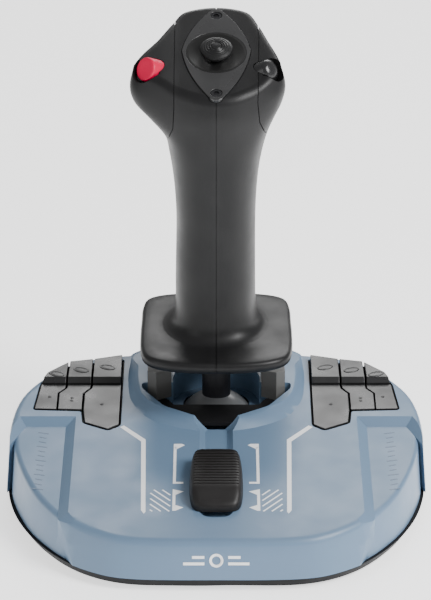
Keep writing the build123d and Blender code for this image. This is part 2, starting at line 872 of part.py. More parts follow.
keep(top_shell_part(), "top_shell")
keep(tray_part(), "bottom_plate")
keep(feet_part(), "rubber_feet")
keep(ballast_part(), "ballast_plate")
keep(base_screws_part(), "base_screws")
keep(well_cover_part(), "well_front_cover")
keep(cheek_part(-1), "well_cheek_left")
keep(cheek_part(1), "well_cheek_right")
keep(bracket_part(), "gimbal_bracket")
keep(pitch_pins_part(), "pitch_pins")
keep(coil_part(3.2, 0.7, 1.1, 4, Plane(origin=(30, 52, 17), z_dir=(1, 0, 0))), "pitch_spring")
keep(plate_part(16, 16, 1.4, Plane(origin=(0, 52, tray_floor + 0.1))), "hall_sensor_board")
keep(plate_part(76, 40, 1.6, Plane(origin=(0, -44, 9))), "main_board")
keep(key_board_part(-1), "key_board_left")
keep(key_board_part(1), "key_board_right")
keep(key_switches_part(), "key_switches")
keep(slider_track_part(), "slider_track")
keep(gland_part(), "cable_gland")

keep(ring_part(), "gimbal_ring")
keep(roll_pins_part(), "roll_pins")
keep(coil_part(2.75, 0.6, 0.75, 2.6, Plane(origin=(0, 27, 17), z_dir=(0, -1, 0))), "roll_spring")

keep(hub_part(), "shaft_hub")
keep(dome_part(), "gimbal_dome")
keep(shaft_part(), "stick_shaft")
keep(round_part(5, 7.5, 1.5), "magnet_holder")
keep(round_part(3, 6.9, 0.6), "sensor_magnet")
keep(round_part(6.5, 118, 4), "twist_sensor")

cut_grip()
keep(top_plate_part(), "top_plate")
keep(plate_screws_part(), "top_plate_screws")
dish = [(5.5, 0.4 - 1.8), (5.5, -0.9), (7, -0.8), (13.2, 0.4), (14.3, 0.4), (14.3, 0.4 - 1.8)]
keep(turned_part(dish), "hat_bezel")
keep(hat_block_part(), "hat_switch_block")
keep(plate_part(24, 28, 1.6, Plane(origin=(0, 51, 186))), "head_board")
keep(side_rod_part(1.5, 16.4, trigger_pivot), "trigger_pin")
keep(tact_switches_part(), "tact_switches")
keep(grip_screws_part(), "grip_screws")
keep(bushes_part(), "twist_bushes")
keep(coil_part(6.4, 0.8, 1.6, 7, Plane(origin=(0, 52, 78))), "twist_spring")

keep(hat_cradle_part(), "hat_cradle")
keep(hat_cap_part(), "hat_cap")
keep(button_part(left_button, 5.75, 0), "thumb_button_left")
keep(button_part(right_button, 5.35, -3.4), "thumb_button_right")
keep(trigger_part(), "trigger")
keep(slider_knob_part(), "slider_knob")
keep(slider_carriage_part(), "slider_carriage")
for side, hand in ((1, "right"), (-1, "left")):
    for spot, (corners, height) in key_shapes.items():
        keep(key_part(side, corners, height), f"key_{hand}_{spot}")
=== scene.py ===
import json
from math import atan, cos, pi, radians, sin
import bmesh
import bpy
from mathutils import Matrix, Vector


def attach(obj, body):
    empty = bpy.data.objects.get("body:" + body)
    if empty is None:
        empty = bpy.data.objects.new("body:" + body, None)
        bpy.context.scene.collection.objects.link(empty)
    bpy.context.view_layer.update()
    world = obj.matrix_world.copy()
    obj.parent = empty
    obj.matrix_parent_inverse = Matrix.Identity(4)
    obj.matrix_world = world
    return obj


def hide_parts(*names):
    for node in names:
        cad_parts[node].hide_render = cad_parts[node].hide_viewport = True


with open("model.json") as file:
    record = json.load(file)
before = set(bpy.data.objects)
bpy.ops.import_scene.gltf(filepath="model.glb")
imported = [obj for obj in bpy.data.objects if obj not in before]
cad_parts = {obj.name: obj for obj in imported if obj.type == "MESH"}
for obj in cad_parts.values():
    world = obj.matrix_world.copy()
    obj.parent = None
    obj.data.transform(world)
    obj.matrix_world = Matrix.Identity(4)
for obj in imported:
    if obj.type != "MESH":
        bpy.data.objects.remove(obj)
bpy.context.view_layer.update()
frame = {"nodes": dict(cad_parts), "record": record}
mm = 0.001
print("frame loaded")


def smoothStep(low, high, value):
    t = min(max((value - low) / (high - low), 0), 1)
    return t * t * (3 - 2 * t)


def catmullRom(p0, p1, p2, p3, t):
    # passes through p1 and p2
    return 0.5 * (2 * p1 + (p2 - p0) * t + (2 * p0 - 5 * p1 + 4 * p2 - p3) * t * t
                  + (3 * p1 - p0 - 3 * p2 + p3) * t ** 3)


def smoothRow(values, steps):
    # refine a row of numbers with a smooth curve through all of them
    out = []
    last = len(values) - 1
    for i in range(last):
        p0, p1 = values[max(i - 1, 0)], values[i]
        p2, p3 = values[i + 1], values[min(i + 2, last)]
        out += [catmullRom(p0, p1, p2, p3, s / steps) for s in range(steps)]
    return out + [values[-1]]


def meshPiece(name, points, faces, material, smoothAngle=35):
    mesh = bpy.data.meshes.new(name)
    mesh.from_pydata([(x * mm, y * mm, z * mm) for x, y, z in points], [], faces)
    return finishPiece(name, mesh, material, smoothAngle)


def finishPiece(name, mesh, material, smoothAngle=35):
    bm = bmesh.new()
    bm.from_mesh(mesh)
    bmesh.ops.recalc_face_normals(bm, faces=bm.faces)
    bm.to_mesh(mesh)
    bm.free()
    obj = bpy.data.objects.new(name, mesh)
    bpy.context.scene.collection.objects.link(obj)
    if material:
        mesh.materials.append(material)
    mesh.set_sharp_from_angle(angle=radians(smoothAngle))
    for face in mesh.polygons:
        face.use_smooth = True
    return obj


def applyModifiers(obj):
    # bake the modifier stack into the mesh
    graph = bpy.context.evaluated_depsgraph_get()
    mesh = bpy.data.meshes.new_from_object(obj.evaluated_get(graph))
    obj.modifiers.clear()
    old = obj.data
    obj.data = mesh
    bpy.data.meshes.remove(old)


def cut(obj, cutter, how="DIFFERENCE", keepCutter=False):
    mod = obj.modifiers.new("cut", "BOOLEAN")
    mod.operation = how
    mod.object = cutter
    mod.solver = "EXACT"
    applyModifiers(obj)
    if not keepCutter:
        bpy.data.objects.remove(cutter)


def refinish(obj, material, smoothAngle):
    # one material and smooth shading again after the cuts
    obj.data.materials.clear()
    obj.data.materials.append(material)
    obj.data.set_sharp_from_angle(angle=radians(smoothAngle))
    for face in obj.data.polygons:
        face.use_smooth = True


def copyPiece(obj, name):
    twin = obj.copy()
    twin.data = obj.data.copy()
    twin.name = twin.data.name = name
    bpy.context.scene.collection.objects.link(twin)
    return twin


def softenEdges(obj, width, segments=2, angle=30):
    # small moulded radius on every crisp edge
    mod = obj.modifiers.new("edges", "BEVEL")
    mod.width = width * mm
    mod.segments = segments
    mod.limit_method = "ANGLE"
    mod.angle_limit = radians(angle)
    mod.harden_normals = True
    mod.miter_outer = "MITER_ARC"


def evenNormals(obj):
    # flat faces stay flat beside the small radii
    mod = obj.modifiers.new("normals", "WEIGHTED_NORMAL")
    mod.keep_sharp = True


def frameMatrix(origin, xDir, zDir):
    # local plane: origin in mm, x and z directions
    z = Vector(zDir).normalized()
    x = Vector(xDir).normalized()
    y = z.cross(x)
    place = Matrix((x, y, z)).transposed().to_4x4()
    place.translation = Vector(origin) * mm
    return place


def placed(obj, matrix):
    # move a piece's vertices so that its object stays at the origin
    obj.data.transform(matrix)
    return obj


def ringWalls(count, rows):
    # quads between stacked rings of equal count
    faces = []
    for r in range(rows - 1):
        for k in range(count):
            n = (k + 1) % count
            faces.append((r * count + k, r * count + n, (r + 1) * count + n, (r + 1) * count + k))
    return faces


def endCaps(count, rows):
    return [tuple(range(count)), tuple(range((rows - 1) * count, rows * count))]


def prism(name, outline, low, high, material=None, matrix=None):
    # straight prism of a plan outline
    count = len(outline)
    points = [(x, y, low) for x, y in outline] + [(x, y, high) for x, y in outline]
    faces = endCaps(count, 2)
    faces += [(i, (i + 1) % count, count + (i + 1) % count, count + i) for i in range(count)]
    piece = meshPiece(name, points, faces, material)
    return placed(piece, matrix) if matrix else piece


def turned(name, profile, material=None, matrix=None, around=72, smoothAngle=30):
    # piece turned about local z from (radius, height) pairs, closed at both ends on the axis
    points = []
    for radius, height in profile:
        for k in range(around):
            a = 2 * pi * k / around
            points.append((radius * cos(a), radius * sin(a), height))
    faces = ringWalls(around, len(profile)) + endCaps(around, len(profile))
    piece = meshPiece(name, points, faces, material, smoothAngle)
    return placed(piece, matrix) if matrix else piece


studio = {
    "elevation": 22.0, "distance": 1.4, "aimHeight": 0.09, "lens": 178.0,
    "shiftX": -0.0013, "shiftY": 0.0508,
    "worldStrength": 0.42, "worldColor": (1.0, 1.0, 1.0, 1),
    "floorColor": (0.93, 0.93, 0.93, 1), "floorGlow": 1.3,
}


def buildCamera():
    cam = bpy.data.cameras.new("camera")
    cam.lens = studio["lens"]
    cam.sensor_width = 36
    cam.sensor_fit = "AUTO"
    cam.shift_x = studio["shiftX"]
    cam.shift_y = studio["shiftY"]
    cam.clip_end = 20
    obj = bpy.data.objects.new("camera", cam)
    bpy.context.scene.collection.objects.link(obj)
    tilt = radians(studio["elevation"])
    reach = studio["distance"]
    obj.location = (0, -reach * cos(tilt), studio["aimHeight"] + reach * sin(tilt))
    obj.rotation_euler = (pi / 2 - tilt, 0, 0)
    bpy.context.scene.camera = obj


def areaLight(name, place, aim, size, power, color=(1, 1, 1)):
    lamp = bpy.data.lights.new(name, "AREA")
    lamp.shape = "RECTANGLE"
    lamp.size, lamp.size_y = size
    lamp.energy = power
    lamp.color = color
    obj = bpy.data.objects.new(name, lamp)
    bpy.context.scene.collection.objects.link(obj)
    obj.location = place
    obj.rotation_euler = (Vector(aim) - Vector(place)).to_track_quat("-Z", "Y").to_euler()


def buildStudio():
    floorMesh = bpy.data.meshes.new("floor")
    floorMesh.from_pydata([(-6, -6, 0), (6, -6, 0), (6, 6, 0), (-6, 6, 0)], [], [(0, 1, 2, 3)])
    floor = bpy.data.objects.new("floor", floorMesh)
    bpy.context.scene.collection.objects.link(floor)
    paper = bpy.data.materials.new("floorPaper")
    paper.use_nodes = True
    paper.node_tree.nodes["Principled BSDF"].inputs["Base Color"].default_value = studio["floorColor"]
    paper.node_tree.nodes["Principled BSDF"].inputs["Roughness"].default_value = 0.9
    paper.node_tree.nodes["Principled BSDF"].inputs["Emission Color"].default_value = (1, 1, 1, 1)
    paper.node_tree.nodes["Principled BSDF"].inputs["Emission Strength"].default_value = studio["floorGlow"]
    floorMesh.materials.append(paper)
    world = bpy.data.worlds.new("studio")
    world.use_nodes = True
    back = world.node_tree.nodes["Background"]
    back.inputs["Color"].default_value = studio["worldColor"]
    back.inputs["Strength"].default_value = studio["worldStrength"]
    bpy.context.scene.world = world
    areaLight("keyLight", (0.75, -0.45, 0.85), (0, 0, 0.1), (0.45, 0.6), 17)
    areaLight("fillLight", (-1.0, -0.7, 0.55), (0, 0, 0.1), (0.7, 0.7), 2)
    areaLight("backLight", (0.2, 1.1, 0.9), (0, 0, 0.15), (0.9, 0.4), 7)


buildCamera()
buildStudio()
print("camera and studio set")


def newMaterial(name):
    mat = bpy.data.materials.new(name)
    mat.use_nodes = True
    tree = mat.node_tree
    return mat, tree, tree.nodes["Principled BSDF"]


def textureMix(tree, scale, detail, low, high, fromValue, toValue):
    # noise turned into a colour or value ramp
    coords = tree.nodes.new("ShaderNodeTexCoord")
    noise = tree.nodes.new("ShaderNodeTexNoise")
    noise.inputs["Scale"].default_value = scale
    noise.inputs["Detail"].default_value = detail
    tree.links.new(coords.outputs["Object"], noise.inputs["Vector"])
    ramp = tree.nodes.new("ShaderNodeValToRGB")
    ramp.color_ramp.elements[0].position = low
    ramp.color_ramp.elements[1].position = high
    ramp.color_ramp.elements[0].color = fromValue
    ramp.color_ramp.elements[1].color = toValue
    tree.links.new(noise.outputs["Fac"], ramp.inputs["Fac"])
    return ramp.outputs["Color"]


def shaded(color, factor):
    return tuple(min(c * factor, 1) for c in color[:3]) + (1,)


def grey(value):
    return (value, value, value, 1)


def plastic(name, look):
    # moulded plastic: slight colour clouds, uneven sheen, fine spark-erosion grain and rubbed edges
    mat, tree, shader = newMaterial(name)
    shader.inputs["Metallic"].default_value = look.get("metallic", 0)
    shader.inputs["Specular IOR Level"].default_value = look.get("specular", 0.5)
    shader.inputs["Coat Weight"].default_value = look.get("coat", 0)
    shader.inputs["Coat Roughness"].default_value = 0.15
    color = look["color"]
    shade = look.get("shade", 0.06)
    clouds = textureMix(tree, look.get("cloudScale", 22), 4, 0.3, 0.7,
                        shaded(color, 1 - shade), shaded(color, 1 + shade))
    geometry = tree.nodes.new("ShaderNodeNewGeometry")
    edge = tree.nodes.new("ShaderNodeMapRange")
    edge.inputs["From Min"].default_value = 0.52
    edge.inputs["From Max"].default_value = 0.62
    edge.inputs["To Max"].default_value = look.get("wear", 0.35)
    tree.links.new(geometry.outputs["Pointiness"], edge.inputs["Value"])
    rub = tree.nodes.new("ShaderNodeMix")
    rub.data_type = "RGBA"
    rub.inputs[7].default_value = shaded(color, look.get("wearShade", 1.6))
    tree.links.new(edge.outputs["Result"], rub.inputs["Factor"])
    tree.links.new(clouds, rub.inputs[6])
    tree.links.new(rub.outputs[2], shader.inputs["Base Color"])
    rough = look["roughness"]
    sheen = textureMix(tree, look.get("sheenScale", 60), 5, 0.35, 0.7, grey(rough - 0.05), grey(rough + 0.06))
    tree.links.new(sheen, shader.inputs["Roughness"])
    coords = tree.nodes.new("ShaderNodeTexCoord")
    grain = tree.nodes.new("ShaderNodeTexNoise")
    grain.inputs["Scale"].default_value = look.get("grain", 1600)
    grain.inputs["Detail"].default_value = 2
    tree.links.new(coords.outputs["Object"], grain.inputs["Vector"])
    bump = tree.nodes.new("ShaderNodeBump")
    bump.inputs["Strength"].default_value = look.get("grainStrength", 0.12)
    bump.inputs["Distance"].default_value = 0.0002
    tree.links.new(grain.outputs["Fac"], bump.inputs["Height"])
    tree.links.new(bump.outputs["Normal"], shader.inputs["Normal"])
    return mat


def metal(name, look):
    # plated or drawn metal with fine directional scratches
    mat, tree, shader = newMaterial(name)
    shader.inputs["Metallic"].default_value = 1
    color = look["color"]
    tone = textureMix(tree, 40, 4, 0.3, 0.7, shaded(color, 0.86), shaded(color, 1.08))
    tree.links.new(tone, shader.inputs["Base Color"])
    rough = look["roughness"]
    coords = tree.nodes.new("ShaderNodeTexCoord")
    stretch = tree.nodes.new("ShaderNodeMapping")
    stretch.inputs["Scale"].default_value = (60, 900, 60)
    scratch = tree.nodes.new("ShaderNodeTexNoise")
    scratch.inputs["Scale"].default_value = 4
    tree.links.new(coords.outputs["Object"], stretch.inputs["Vector"])
    tree.links.new(stretch.outputs["Vector"], scratch.inputs["Vector"])
    spread = tree.nodes.new("ShaderNodeMapRange")
    spread.inputs["To Min"].default_value = rough - 0.08
    spread.inputs["To Max"].default_value = rough + 0.12
    tree.links.new(scratch.outputs["Fac"], spread.inputs["Value"])
    tree.links.new(spread.outputs["Result"], shader.inputs["Roughness"])
    bump = tree.nodes.new("ShaderNodeBump")
    bump.inputs["Strength"].default_value = 0.08
    bump.inputs["Distance"].default_value = 0.0001
    tree.links.new(scratch.outputs["Fac"], bump.inputs["Height"])
    tree.links.new(bump.outputs["Normal"], shader.inputs["Normal"])
    return mat


def boardResin(name, look):
    # circuit board: solder mask with faint copper tracks
    mat, tree, shader = newMaterial(name)
    coords = tree.nodes.new("ShaderNodeTexCoord")
    bricks = tree.nodes.new("ShaderNodeTexBrick")
    bricks.inputs["Scale"].default_value = 180
    bricks.inputs["Color1"].default_value = look["color"]
    bricks.inputs["Color2"].default_value = shaded(look["color"], 0.8)
    bricks.inputs["Mortar"].default_value = look["track"]
    bricks.inputs["Mortar Size"].default_value = 0.03
    tree.links.new(coords.outputs["Object"], bricks.inputs["Vector"])
    tree.links.new(bricks.outputs["Color"], shader.inputs["Base Color"])
    tree.links.new(textureMix(tree, 300, 3, 0.3, 0.7, grey(0.3), grey(0.45)), shader.inputs["Roughness"])
    bump = tree.nodes.new("ShaderNodeBump")
    bump.inputs["Strength"].default_value = 0.2
    bump.inputs["Distance"].default_value = 0.0001
    tree.links.new(bricks.outputs["Fac"], bump.inputs["Height"])
    tree.links.new(bump.outputs["Normal"], shader.inputs["Normal"])
    return mat


plasticLooks = {
    "baseBlue": {"color": (0.125, 0.2, 0.3, 1), "roughness": 0.4, "shade": 0.03, "grain": 1500,
                 "grainStrength": 0.06, "wear": 0.2, "wearShade": 1.25},
    "baseBlack": {"color": (0.008, 0.008, 0.009, 1), "roughness": 0.65, "specular": 0.15,
                  "grainStrength": 0.2},
    "footRubber": {"color": (0.01, 0.01, 0.01, 1), "roughness": 0.75, "grainStrength": 0.3,
                   "specular": 0.15, "wear": 0.1},
    "gripCharcoal": {"color": (0.009, 0.009, 0.0095, 1), "roughness": 0.4, "specular": 0.28,
                     "shade": 0.08, "grain": 2200, "grainStrength": 0.14, "wear": 0.3, "wearShade": 1.5},
    "plateGrey": {"color": (0.028, 0.028, 0.029, 1), "roughness": 0.3, "grainStrength": 0.05},
    "dishBlack": {"color": (0.008, 0.008, 0.008, 1), "roughness": 0.36, "specular": 0.35},
    "hatBlack": {"color": (0.009, 0.009, 0.0095, 1), "roughness": 0.42, "specular": 0.3},
    "buttonRed": {"color": (0.62, 0.0, 0.05, 1), "roughness": 0.42, "specular": 0.3, "shade": 0.05,
                  "grainStrength": 0.05, "wearShade": 1.2},
    "buttonBlack": {"color": (0.012, 0.012, 0.013, 1), "roughness": 0.26, "grainStrength": 0.05},
    "triggerBlack": {"color": (0.024, 0.024, 0.026, 1), "roughness": 0.4},
    "sliderBlack": {"color": (0.01, 0.009, 0.009, 1), "roughness": 0.48, "specular": 0.35,
                    "grainStrength": 0.15},
    "keyGrey": {"color": (0.017, 0.017, 0.018, 1), "roughness": 0.3, "specular": 0.4,
                "grainStrength": 0.08},
    "keyMark": {"color": (0.006, 0.006, 0.007, 1), "roughness": 0.5},
    "cheekGrey": {"color": (0.11, 0.11, 0.107, 1), "roughness": 0.55, "grainStrength": 0.12},
    "domeGrey": {"color": (0.13, 0.135, 0.14, 1), "roughness": 0.34, "grainStrength": 0.05},
    "shaftBlack": {"color": (0.014, 0.014, 0.017, 1), "roughness": 0.42},
    "printWhite": {"color": (0.93, 0.94, 0.95, 1), "roughness": 0.5, "shade": 0.03, "grainStrength": 0.04,
                   "wearShade": 1.0},
    "innerNylon": {"color": (0.62, 0.61, 0.57, 1), "roughness": 0.5},
    "switchBlack": {"color": (0.03, 0.03, 0.03, 1), "roughness": 0.5},
    "wingPrint": {"color": (0.09, 0.13, 0.19, 1), "roughness": 0.5, "grainStrength": 0.05},
}
metalLooks = {
    "zincSteel": {"color": (0.62, 0.62, 0.64, 1), "roughness": 0.34},
    "springSteel": {"color": (0.5, 0.5, 0.52, 1), "roughness": 0.28},
    "blackScrew": {"color": (0.06, 0.06, 0.065, 1), "roughness": 0.38},
}
boardLooks = {
    "circuitBoard": {"color": (0.02, 0.16, 0.06, 1), "track": (0.05, 0.28, 0.12, 1)},
}
finish = {name: plastic(name, look) for name, look in plasticLooks.items()}
finish.update({name: metal(name, look) for name, look in metalLooks.items()})
finish.update({name: boardResin(name, look) for name, look in boardLooks.items()})
print("materials mixed")


def finishOfSlot(slot):
    # the slot base_blue takes the finish baseBlue
    first, second = slot.split("_")
    return finish[first + second.capitalize()]


def finishFrame():
    # every carried-over part gets its own finish
    for part in frame["record"]["subparts"]:
        node = frame["nodes"][part["node"]]
        node.data.materials.clear()
        node.data.materials.append(finishOfSlot(part["material_slot"]))


finishFrame()


def closedSmooth(points, steps):
    # closed ring of points refined with a smooth curve
    count = len(points)
    out = []
    for i in range(count):
        quad = [points[(i + k) % count] for k in (-1, 0, 1, 2)]
        for s in range(steps):
            out.append(tuple(catmullRom(*(q[a] for q in quad), s / steps) for a in (0, 1)))
    return out


def halfRing(rowY, left, right):
    # front middle, up the left side to the back middle, and down the right side
    outward = [(-across, y) for across, y in zip(left, rowY)]
    return outward + [(across, y) for across, y in list(zip(right, rowY))[-2:0:-1]]


def pulledIn(ring, amount):
    # clockwise ring moved inwards along its normals
    count = len(ring)
    moved = []
    for i, (x, y) in enumerate(ring):
        before, after = ring[i - 1], ring[(i + 1) % count]
        along = Vector((after[0] - before[0], after[1] - before[1])).normalized()
        moved.append((x + along.y * amount, y - along.x * amount))
    return moved


def stackMesh(name, rows, columns=20, smoothAngle=40, capHeight=None):
    # closed skin over rings of equal count; the last ring is capped by a grid from side to side
    count = len(rows[0])
    points = [p for row in rows for p in row]
    faces = [tuple(range(count))] + ringWalls(count, len(rows))
    top = (len(rows) - 1) * count
    half = count // 2
    lines = [[top] * (columns + 1)]
    for i in range(1, half):
        a, b = points[top + i], points[top + count - i]
        line = [top + i]
        for c in range(1, columns):
            t = c / columns
            x, y = a[0] + (b[0] - a[0]) * t, a[1] + (b[1] - a[1]) * t
            z = capHeight(x, y) if capHeight else a[2] + (b[2] - a[2]) * t
            line.append(len(points))
            points.append((x, y, z))
        lines.append(line + [top + count - i])
    lines.append([top + half] * (columns + 1))
    for near, far in zip(lines, lines[1:]):
        for c in range(columns):
            corners = [near[c], near[c + 1], far[c + 1], far[c]]
            faces.append(tuple(dict.fromkeys(corners)))
    return meshPiece(name, points, faces, None, smoothAngle)


gripShape = {
    "restY": (6.4, 7.1, 10, 16, 27, 46, 60, 74, 83.5, 88.6, 89.8),
    "restHalf": (0, 13, 25.5, 33.8, 36.6, 37, 36.8, 36.4, 33.5, 22, 0),
    "restBottom": 66.9, "restSlope": 0.061,
    "restEdge": ((2.4, 0), (1.0, 0.35), (0.25, 1.1), (0, 2.0), (0, 3.4), (0.25, 4.5), (0.9, 5.2), (2.0, 5.6)),
    # height, left, right, front, back, slope towards the back
    "column": ((72.6, 26.4, 25.8, 25.4, 80.9, 0.061), (73.6, 23.6, 23.0, 27.6, 78.0, 0.055),
               (75.6, 21.6, 21.0, 29.7, 75.8, 0.045), (79, 20.5, 19.9, 30.9, 74.7, 0.03),
               (86, 19.9, 19.2, 31.3, 74.0, 0.01), (100, 19.8, 19.0, 31.5, 73.5, 0),
               (115, 19.5, 18.9, 31.2, 73.2, 0), (129, 19.3, 18.9, 31.0, 73.0, 0),
               (141, 19.8, 19.3, 30.4, 73.8, 0.02), (152, 20.9, 20.2, 29.6, 75.0, 0.05),
               (162, 22.5, 21.8, 28.8, 77.0, 0.1), (172, 25.0, 24.4, 28.0, 79.5, 0.16)),
    # height, slope, then the stations of the left and right sides
    "head": (
        (182.5, 0.25, (26.6, 28.2, 31.6, 36.5, 42.5, 50, 58, 67.5, 76, 82.6, 85.4),
         (0, 8.8, 17, 25, 30.6, 32.5, 30.5, 26.2, 21.4, 14.2, 0),
         (0, 8.6, 15.8, 22.3, 26.5, 28.2, 27, 24, 20, 13.6, 0)),
        (190, 0.33, (25.8, 27.3, 31, 36, 41.5, 48, 56, 66, 76, 84.3, 87.4),
         (0, 9, 18, 28, 35.8, 39, 35.5, 28.5, 22.3, 15.2, 0),
         (0, 8.8, 16.6, 24, 29, 31.3, 29.4, 25.4, 21, 14.8, 0)),
        (197, 0.41, (25.6, 27.2, 31, 36, 41, 47.2, 55, 65, 76, 85, 88.3),
         (0, 9, 18.5, 29, 37.8, 41, 37.3, 29.5, 22.6, 15.8, 0),
         (0, 8.8, 16.8, 24.8, 30.3, 32.8, 30.6, 26, 21.2, 15.2, 0)),
        (203.8, 0.466, (26.2, 27.6, 31, 36, 41.5, 47.5, 55, 65, 76, 85, 88.2),
         (0, 8.5, 17.5, 27.5, 36, 39.6, 36, 28.2, 21.8, 15.5, 0),
         (0, 8.5, 16, 23.5, 28.8, 31.2, 29.3, 25, 20.6, 15, 0)),
    ),
    "topHeight": 207.1, "topSlope": 0.466, "topRounding": 3.3, "shoulderRise": 1.4, "shoulderFrom": 16.5,
    "shoulderTo": 27.0,
    "perStation": 6, "perRow": 5, "middle": 52.0,
    "wall": 2.4, "seamGap": 0.42, "moduleGap": 0.28, "grooveDepth": 0.55,
    "leftSeam": ((-20, 240), (-20, 190), (-20.6, 179), (-24, 170), (-60, 166), (-60, 240)),
    "rightSeam": ((19.6, 240), (20.4, 214), (19.6, 192), (20.6, 182), (24.2, 173), (60, 166), (60, 240)),
    "headOrigin": (0, 26, 195), "headTilt": 25.0,
    "recess": 1.4, "hatMiddle": 33.4, "hatBore": 12.4,
    "shaftBore": 9.02, "boreTop": 120,
    "triggerSlot": (6.4, 66, 104, 155.5, 192.5),
}
headPlace = frameMatrix(gripShape["headOrigin"], (1, 0, 0),
                        (0, -sin(radians(gripShape["headTilt"])), cos(radians(gripShape["headTilt"]))))


def topOfHead(x, y):
    g = gripShape
    rise = g["shoulderRise"] * smoothStep(g["shoulderFrom"], g["shoulderTo"], abs(x))
    return g["topHeight"] + g["topSlope"] * (y - g["middle"]) + rise


def gripKeyRings():
    # every key ring of the column and head: height, slope and its ring of stations
    g = gripShape
    keys = []
    for height, left, right, front, back, slope in g["column"]:
        turns = [pi * i / 10 for i in range(11)]
        rowY = [(front + back) / 2 - (back - front) / 2 * cos(a) for a in turns]
        widths = [max(sin(a), 0) ** 0.8 for a in turns]
        keys.append((height, slope, halfRing(rowY, [left * w for w in widths], [right * w for w in widths])))
    for height, slope, rowY, left, right in g["head"]:
        keys.append((height, slope, halfRing(rowY, left, right)))
    return keys


def refinedRings(keys):
    # smooth between the key rings in height as well as round them
    g = gripShape
    heights = smoothRow([k[0] for k in keys], g["perRow"])
    slopes = smoothRow([k[1] for k in keys], g["perRow"])
    stations = range(len(keys[0][2]))
    tracks = [[smoothRow([k[2][i][a] for k in keys], g["perRow"]) for a in (0, 1)] for i in stations]
    rings = []
    for r, (height, slope) in enumerate(zip(heights, slopes)):
        rings.append((height, slope, closedSmooth([(t[0][r], t[1][r]) for t in tracks], g["perStation"])))
    return rings


def lifted(ring, height, slope):
    return [(x, y, height + slope * (y - gripShape["middle"])) for x, y in ring]


def shoulder(height, x):
    # the outer shoulders of the head lift towards the top
    g = gripShape
    outward = smoothStep(g["shoulderFrom"], g["shoulderTo"], abs(x))
    return g["shoulderRise"] * outward * smoothStep(188, 203, height)


def gripBody(name, shrink=0.0):
    # outer skin of the whole grip, or the same skin moved inwards
    g = gripShape
    rest = closedSmooth(halfRing(g["restY"], g["restHalf"], g["restHalf"]), g["perStation"])
    squeeze = 1 - 2 * shrink / g["restEdge"][-1][1]
    rows = [lifted(pulledIn(rest, inset + shrink), g["restBottom"] + shrink + rise * squeeze, g["restSlope"])
            for inset, rise in g["restEdge"]]
    rings = []
    for height, slope, ring in refinedRings(gripKeyRings()):
        lower = shrink * (1 - smoothStep(72.6, 80, height) + smoothStep(190, 203.8, height))
        rings.append((height - lower, slope, pulledIn(ring, shrink)))
    foot = lifted(rings[0][2], rings[0][0], rings[0][1])
    edge = rows[-1]
    for t in (0.35, 0.7):
        rows.append([tuple(a[c] + (b[c] - a[c]) * t for c in range(3)) for a, b in zip(edge, foot)])
    for height, slope, ring in rings:
        rows.append([(x, y, z + shoulder(height, x)) for x, y, z in lifted(ring, height, slope)])
    rim = rows[-1]
    radius = g["topRounding"]
    flat = [(x, y) for x, y, z in rim]
    for s in (1, 2, 3, 4):
        a = pi / 2 * s / 4
        ring = pulledIn(flat, radius * (1 - cos(a)))
        rows.append([(x, y, z + (topOfHead(x, y) - shrink - z) * sin(a))
                     for (x, y), (_, _, z) in zip(ring, rim)])
    return stackMesh(name, rows, columns=24, capHeight=lambda x, y: topOfHead(x, y) - shrink)


def gripHollow():
    g = gripShape
    rows = [lifted(pulledIn(ring, g["wall"]), height - g["wall"] * 0.6, slope)
            for height, slope, ring in refinedRings(gripKeyRings()) if height > 79]
    return stackMesh("gripHollow", rows, columns=2)


def threePointArc(a, b, c, steps):
    # points on the circle through a, b and c, from a up to but not including c
    (ax, ay), (bx, by), (cx, cy) = a, b, c
    d = 2 * (ax * (by - cy) + bx * (cy - ay) + cx * (ay - by))
    aa, bb, cc = ax * ax + ay * ay, bx * bx + by * by, cx * cx + cy * cy
    ux = (aa * (by - cy) + bb * (cy - ay) + cc * (ay - by)) / d
    uy = (aa * (cx - bx) + bb * (ax - cx) + cc * (bx - ax)) / d
    start, end = Vector((ax - ux, ay - uy)), Vector((cx - ux, cy - uy))
    middle = Vector((bx - ux, by - uy))
    sweep = -(start.angle_signed(middle) + middle.angle_signed(end))
    base = Vector((start.x, start.y))
    out = []
    for s in range(steps):
        turn = Matrix.Rotation(sweep * s / steps, 2)
        p = turn @ base
        out.append((p.x + ux, p.y + uy))
    return out


def lozenge(grow=0.0):
    # outline of the top plate in the head's own plane
    right = threePointArc((-3.4, 2.6), (0, 0.2), (3.4, 2.6), 6)
    right += threePointArc((3.4, 2.6), (11.6, 17), (16.4, 35), 12)
    right += threePointArc((16.4, 35), (11.4, 50.5), (3.2, 63), 12)
    right += threePointArc((3.2, 63), (0, 65), (-3.2, 63), 6)
    left = threePointArc((-3.2, 63), (-11.4, 50.5), (-16.4, 35), 12)
    left += threePointArc((-16.4, 35), (-11.6, 17), (-3.4, 2.6), 12)
    return pulledIn(right + left, grow)  # the ring runs the other way, so this moves it outwards


def bore(name, place, profile):
    return turned(name, profile, matrix=place, around=48)


buttonSeats = {
    "left": {"origin": (-34.5, 43.5, 205.5), "axis": (-0.66, -0.65, 0.37), "bore": 6.05, "seat": 6.95},
    "right": {"origin": (28.5, 44.5, 205.5), "axis": (0.75, -0.5, 0.43), "bore": 5.65, "seat": 6.55},
}


